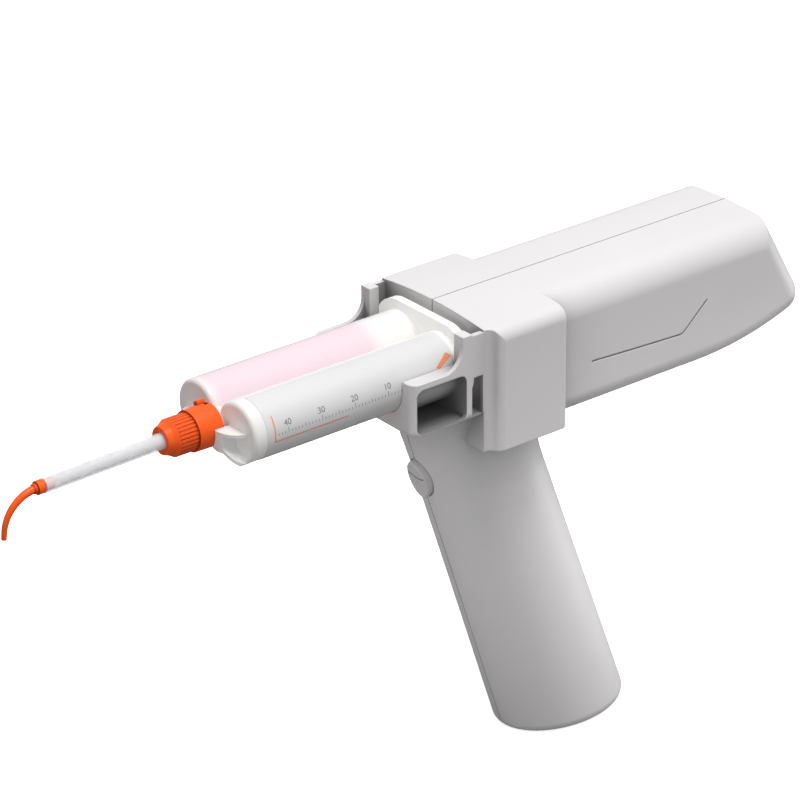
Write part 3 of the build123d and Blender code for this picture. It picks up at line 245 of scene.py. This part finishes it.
metals = {
    "steel": {"name": "groundSteel", "color": (0.60, 0.60, 0.61), "roughness": 0.3, "stretch": (1, 0.05, 1)},
    "zinc": {"name": "zincPlate", "color": (0.70, 0.70, 0.72), "roughness": 0.35},
    "brass": {"name": "turnedBrass", "color": (0.78, 0.57, 0.25), "roughness": 0.3},
    "bronze": {"name": "sinteredBronze", "color": (0.55, 0.36, 0.18), "roughness": 0.5, "scale": 1500.0},
    "plate": {"name": "milledAluminium", "color": (0.78, 0.78, 0.79), "roughness": 0.35,
              "stretch": (0.05, 1, 1)},
    "nickel": {"name": "nickelStrip", "color": (0.68, 0.65, 0.60), "roughness": 0.3},
}
mats.update((key, metal(**values)) for key, values in metals.items())

milky = {
    "barrel": {"name": "milkyBarrel", "color": (0.76, 0.75, 0.735), "roughness": 0.26, "glow": 0.10},
    "tube": {"name": "milkyTube", "color": (0.80, 0.79, 0.81), "roughness": 0.2, "glow": 0.11,
             "alpha": 0.5},  # shows the mixing elements
    "pasteTint": (0.73, 0.585, 0.635), "tintFade": 0.0035, "tintReach": (0.0005, 0.0015),
    "flangeThickness": 0.0036, "flangeFade": 0.0005, "flangeGlow": 0.34,
}
mats["tube"] = milkyPlastic(**milky["tube"])[0]
mats["barrel"], tree, shader, tone = milkyPlastic(**milky["barrel"])
tintByPaste(tree, shader, tone, milky["pasteTint"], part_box("catalyst_paste"), milky["tintFade"],
            milky["tintReach"])  # stands in for the paste behind the wall
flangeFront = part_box("cartridge_body")[1][1] - milky["flangeThickness"]
glowAtFlange(tree, shader, flangeFront, milky["flangeFade"], milky["barrel"]["glow"], milky["flangeGlow"])

dress(mats["housing"], "left_housing", "right_housing")
dress(mats["button"], "rocker_button")
dress(mats["orange"], "mixer_cap", "intraoral_tip")
dress(mats["barrel"], "cartridge_body")
dress(mats["tube"], "mixer_tube")
dress(mats["label"], "cartridge_label")
dress(mats["basePaste"], "base_paste")
dress(mats["pinkPaste"], "catalyst_paste")
dress(mats["seal"], "base_piston", "catalyst_piston", "mixer_elements")
dress(mats["steel"], "left_ram", "right_ram", "front_race", "rear_race", "lead_screw", "motor_shaft",
      "rocker_pin")
dress(mats["zinc"], "case_screws", "gearbox", "gearbox_screws", "motor")
dress(mats["brass"], "drive_nut", "motor_pinion")
dress(mats["bronze"], "left_bush", "right_bush")
dress(mats["plate"], "left_disc", "right_disc", "ram_yoke", "bearing_plate", "rear_plate")
dress(mats["acetal"], "screw_gear", "button_frame")
dress(mats["black"], "battery_holder", "charge_socket", "forward_switch", "reverse_switch")
dress(mats["board"], "control_board", "switch_board")
dress(mats["cell"], "front_cell", "rear_cell")
dress(mats["nickel"], "series_contact", "front_contact", "rear_contact")
print("finishes done")


# printing on the label: plain lines, a slanted block and a scale of millilitres, all bent round the barrel

printing = {
    "lift": 0.00003, "strip": 0.0005,  # height over the label, width of the flat strips
    "wall": -0.0665,  # front wall of the block, from which the lines are placed
    "lineWidth": 0.00048,
    "upright": (-0.0940, -9.7, 40.7), "lengthwise": (-0.0940, -0.0600, -9.7, -7.5),
    "lowLine": (-0.0970, -0.0300, -64.0, -50.0),  # from, to, and the angles it lies between
    "block": ((-0.0110, 43.3), (-0.0090, 34.7), (-0.0157, 17.7), (-0.0174, 21.8)),
    "inkOrange": (0.88, 0.30, 0.14), "inkGrey": (0.16, 0.16, 0.17),
    "firstMark": 6, "lastMark": 43,  # millilitres from both barrels together
    "markWidth": 0.00022, "markFoot": 1.5, "markLengths": (0.0010, 0.0016, 0.0022), "figureSize": 0.0034,
    "figureGap": 0.0007,
}
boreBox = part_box("base_paste")
barrelAxis = ((boreBox[0][0] + boreBox[1][0]) / 2, (boreBox[0][2] + boreBox[1][2]) / 2)
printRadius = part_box("cartridge_label")[1][0] - barrelAxis[0] + printing["lift"]
boreRadius = (boreBox[1][0] - boreBox[0][0]) / 2
millilitre = 1e-6 / (2 * math.pi * boreRadius ** 2)  # both pistons move together


def addFlatFace(bm, corners):
    bm.faces.new([bm.verts.new((along, across, 0)) for along, across in corners])


def addBar(bm, start, end, low, high):
    addFlatFace(bm, [(start, low), (end, low), (end, high), (start, high)])


def addFigures(bm, text, size, along, across):
    curve = bpy.data.curves.new("figures", "FONT")
    curve.body = text
    curve.size = size
    curve.align_x = "CENTER"
    holder = bpy.data.objects.new("figures", curve)
    scene.collection.objects.link(holder)
    bpy.context.view_layer.update()
    mesh = holder.to_mesh()
    mesh.transform(Matrix.Translation((along, across, 0)))
    bm.from_mesh(mesh)
    holder.to_mesh_clear()
    bpy.data.objects.remove(holder)


def bendOnBarrel(bm, name, material):
    bmesh.ops.remove_doubles(bm, verts=bm.verts[:], dist=1e-7)
    low = min(v.co.y for v in bm.verts)
    high = max(v.co.y for v in bm.verts)
    for count in range(1, math.ceil((high - low) / printing["strip"])):
        bmesh.ops.bisect_plane(bm, geom=bm.verts[:] + bm.edges[:] + bm.faces[:],
                               plane_co=(0, low + count * printing["strip"], 0), plane_no=(0, 1, 0))
    for v in bm.verts:
        angle = v.co.y / printRadius
        side, height = printRadius * math.cos(angle), printRadius * math.sin(angle)
        v.co = (barrelAxis[0] + side, v.co.x, barrelAxis[1] + height)
    mesh = bpy.data.meshes.new(name)
    bm.to_mesh(mesh)
    bm.free()
    mesh.materials.append(material)
    marks = bpy.data.objects.new(name, mesh)
    scene.collection.objects.link(marks)
    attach(marks, "gun")


def arcLength(degrees):
    return math.radians(degrees) * printRadius


def printLines(settings):
    bm = bmesh.new()
    half = settings["lineWidth"] / 2
    wall = settings["wall"]
    place, low, high = settings["upright"]
    addBar(bm, wall + place - half, wall + place + half, arcLength(low), arcLength(high))
    for lineFrom, lineTo, lowAngle, highAngle in (settings["lengthwise"], settings["lowLine"]):
        addBar(bm, wall + lineFrom - half, wall + lineTo, arcLength(lowAngle), arcLength(highAngle))
    addFlatFace(bm, [(wall + place, arcLength(angle)) for place, angle in settings["block"]][::-1])
    bendOnBarrel(bm, "label_lines", plastic("orangeInk", settings["inkOrange"], 0.4, 1400.0, 0.000004))


def printScale(settings):
    bm = bmesh.new()
    half = settings["markWidth"] / 2
    foot = arcLength(settings["markFoot"])
    for mark in range(settings["firstMark"], settings["lastMark"] + 1):
        place = boreBox[1][1] - mark * millilitre
        size = 2 if mark % 10 == 0 else 1 if mark % 5 == 0 else 0
        addBar(bm, place - half, place + half, foot, foot + settings["markLengths"][size])
        if size == 2:
            top = foot + settings["markLengths"][size]
            addFigures(bm, str(mark), settings["figureSize"], place, top + settings["figureGap"])
    bendOnBarrel(bm, "label_scale", plastic("greyInk", settings["inkGrey"], 0.4, 1400.0, 0.000004))


printLines(printing)
printScale(printing)
print("label printing done")


# floor, light and camera

studio = {
    "floorSize": 8.0,
    "floorSeen": (0.97, 0.97, 0.97),  # as the camera sees it
    "floorBounce": (0.16, 0.16, 0.16),  # what it throws back on the gun
    "floorGlow": 0.75,
    "world": {"strength": 0.60, "slope": (0.0, 0.3, 0.0)},  # brighter from behind the gun than from the front
    "topLight": {"size": 0.7, "power": 20.0, "place": (0.45, 0.0, 1.75), "target": (0, -0.05, 0.15)},
    "lowLight": {"size": 0.25, "power": 0.055, "place": (0.12, -0.46, 0.03), "target": (0, 0.05, 0.05),
                 "spread": 38},  # degrees
    "backLight": {"size": 0.25, "power": 0.07, "place": (0.14, 0.40, 0.05), "target": (0, 0.03, 0.055),
                  "spread": 24},
}


def buildFloor(settings):
    bm = bmesh.new()
    bmesh.ops.create_grid(bm, x_segments=1, y_segments=1, size=settings["floorSize"] / 2)
    mesh = bpy.data.meshes.new("floor")
    bm.to_mesh(mesh)
    bm.free()
    floor = bpy.data.objects.new("floor", mesh)
    scene.collection.objects.link(floor)
    mat, tree, shader = newMaterial("floorPaper", settings["floorSeen"], 0.8)
    seen = addNode(tree, "ShaderNodeLightPath").outputs["Is Camera Ray"]
    darker = tuple(c * 0.99 for c in settings["floorSeen"])
    paper = mixColors(tree, addNoise(tree, 3.0), settings["floorSeen"], darker)
    shown = mixColors(tree, seen, settings["floorBounce"], settings["floorSeen"])
    tree.links.new(paper, shown.node.inputs["B"])
    tree.links.new(shown, shader.inputs["Base Color"])
    shader.inputs["Emission Color"].default_value = (1, 1, 1, 1)
    glow = mapValue(tree, seen, 0.0, settings["floorGlow"], 0.0, 1.0)
    tree.links.new(glow, shader.inputs["Emission Strength"])
    mesh.materials.append(mat)


def addSoftLight(name, settings):
    data = bpy.data.lights.new(name, "AREA")
    data.shape = "DISK"
    data.size = settings["size"]
    data.energy = settings["power"]
    data.spread = math.radians(settings.get("spread", 180))
    lamp = bpy.data.objects.new(name, data)
    scene.collection.objects.link(lamp)
    lamp.location = settings["place"]
    aim = Vector(settings["target"]) - lamp.location
    lamp.visible_camera = False
    lamp.rotation_euler = aim.to_track_quat("-Z", "Y").to_euler()


def buildWorld(settings):
    world = bpy.data.worlds.new("studioWorld")
    world.use_nodes = True
    tree = world.node_tree
    background = tree.nodes["Background"]
    toward = addNode(tree, "ShaderNodeVectorMath", operation="DOT_PRODUCT")
    tree.links.new(addNode(tree, "ShaderNodeTexCoord").outputs["Generated"], toward.inputs[0])
    toward.inputs[1].default_value = settings["slope"]
    level = addNode(tree, "ShaderNodeMath", operation="MULTIPLY_ADD")
    tree.links.new(toward.outputs["Value"], level.inputs[0])
    level.inputs[1].default_value = settings["strength"]
    level.inputs[2].default_value = settings["strength"]
    rays = addNode(tree, "ShaderNodeLightPath")
    seen = addNode(tree, "ShaderNodeMath", operation="MAXIMUM")
    tree.links.new(rays.outputs["Is Camera Ray"], seen.inputs[0])
    tree.links.new(rays.outputs["Is Transmission Ray"], seen.inputs[1])
    background.inputs["Color"].default_value = (1, 1, 1, 1)
    light = addNode(tree, "ShaderNodeMix", data_type="FLOAT")
    tree.links.new(seen.outputs[0], light.inputs[0])
    tree.links.new(level.outputs[0], light.inputs[2])
    light.inputs[3].default_value = 1.0  # plain white where it is seen directly
    tree.links.new(light.outputs[0], background.inputs["Strength"])
    scene.world = world


viewCamera = {
    "azimuth": 51.826, "elevation": 26.297, "roll": -0.6156,  # degrees
    "distance": 1.5444, "target": (0.00005, -0.08275, 0.1661), "lens": 180.2,
}


def buildCamera(settings):
    azimuth, elevation, roll = (math.radians(settings[key]) for key in ("azimuth", "elevation", "roll"))
    back = Vector((math.sin(azimuth) * math.cos(elevation), -math.cos(azimuth) * math.cos(elevation),
                   math.sin(elevation)))
    right = Vector((math.cos(azimuth), math.sin(azimuth), 0))
    up = back.cross(right)
    turnedRight = math.cos(roll) * right + math.sin(roll) * up
    turnedUp = math.cos(roll) * up - math.sin(roll) * right
    data = bpy.data.cameras.new("viewCamera")
    data.lens = settings["lens"]
    data.sensor_width = 36.0
    data.clip_end = 20.0
    camera = bpy.data.objects.new("viewCamera", data)
    scene.collection.objects.link(camera)
    axes = Matrix((turnedRight, turnedUp, back)).transposed().to_4x4()
    camera.matrix_world = Matrix.Translation(Vector(settings["target"]) + back * settings["distance"]) @ axes
    scene.camera = camera


buildFloor(studio)
buildWorld(studio["world"])
for lightName in ("topLight", "lowLight", "backLight"):
    addSoftLight(lightName, studio[lightName])
buildCamera(viewCamera)
scene.view_settings.view_transform = "Standard"
print("studio done")
